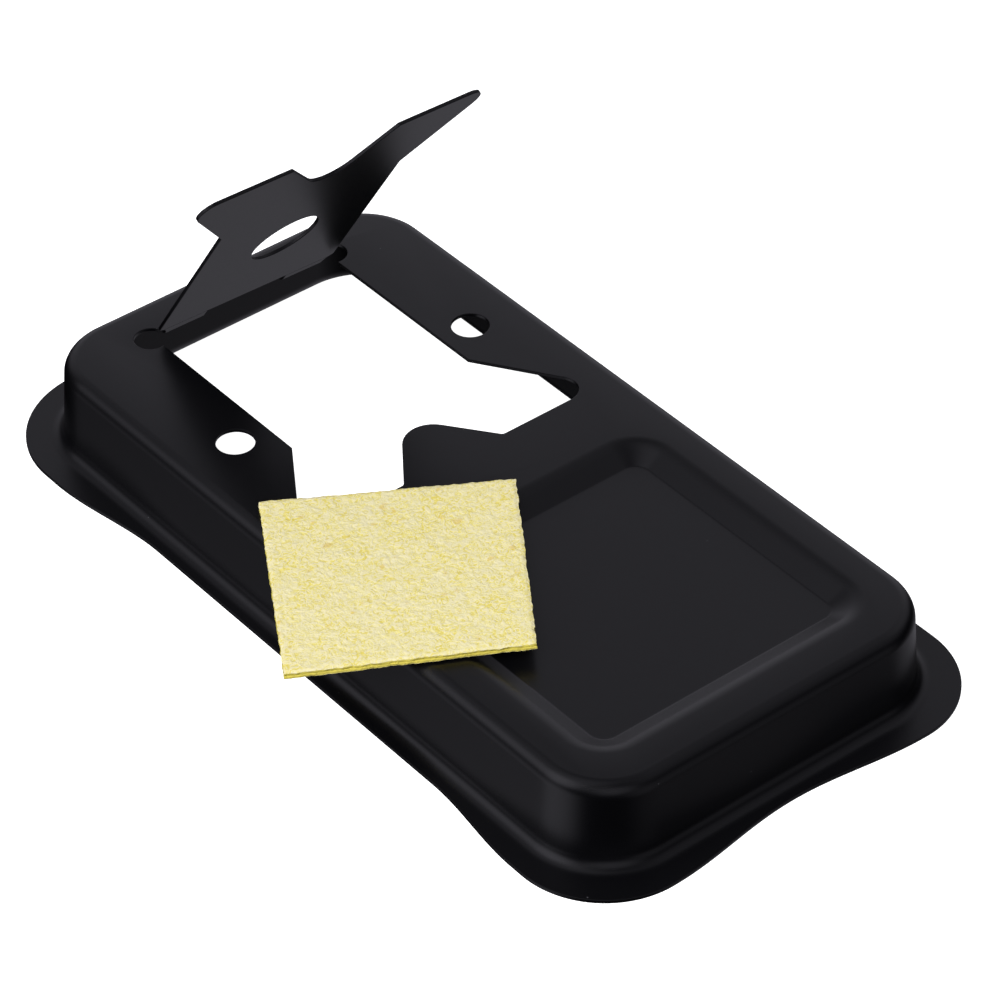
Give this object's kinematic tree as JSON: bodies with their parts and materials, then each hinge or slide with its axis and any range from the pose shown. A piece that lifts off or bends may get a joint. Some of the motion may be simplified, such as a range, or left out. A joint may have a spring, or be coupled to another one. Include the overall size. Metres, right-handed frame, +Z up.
{
  "type": "soldering iron stand",
  "caption": "Pressed sheet steel bench stand with a sponge tray, a fold-up Y-shaped rest cut from its deck and a loose cellulose cleaning sponge.",
  "frame": {"origin": "on the table, under the middle of the whole object's box, which takes in the sponge where it overhangs the left side", "axes": "+Y towards the folded rest, +X to the right seen from the sponge tray's end, +Z up"},
  "size_m": [0.0907, 0.1496, 0.0599],
  "materials": {
    "coated_steel": "satin black powder coat on sheet steel",
    "cellulose_sponge": "dry compressed pale yellow cellulose, matt and fibrous"
  },
  "bodies": {
    "stand": {"base_pressing": "coated_steel", "fold_web_left": "coated_steel", "fold_web_right": "coated_steel"},
    "rest": {"iron_rest": "coated_steel"},
    "sponge_pad": {"sponge": "cellulose_sponge"}
  },
  "joints": [
    {"name": "rest_fold", "type": "hinge", "parent": "stand", "child": "rest", "pos_m": [0.00505, 0.05906, 0.0146], "axis": [-0.9997, 0.0198, -0.0108], "range_deg": [-53, 35], "deforming": ["fold_web_left", "fold_web_right"]},
    {"name": "sponge_lift", "type": "slide", "parent": "stand", "child": "sponge_pad", "axis": [0, 0, 1], "range_m": [0, 0.05]}
  ]
}
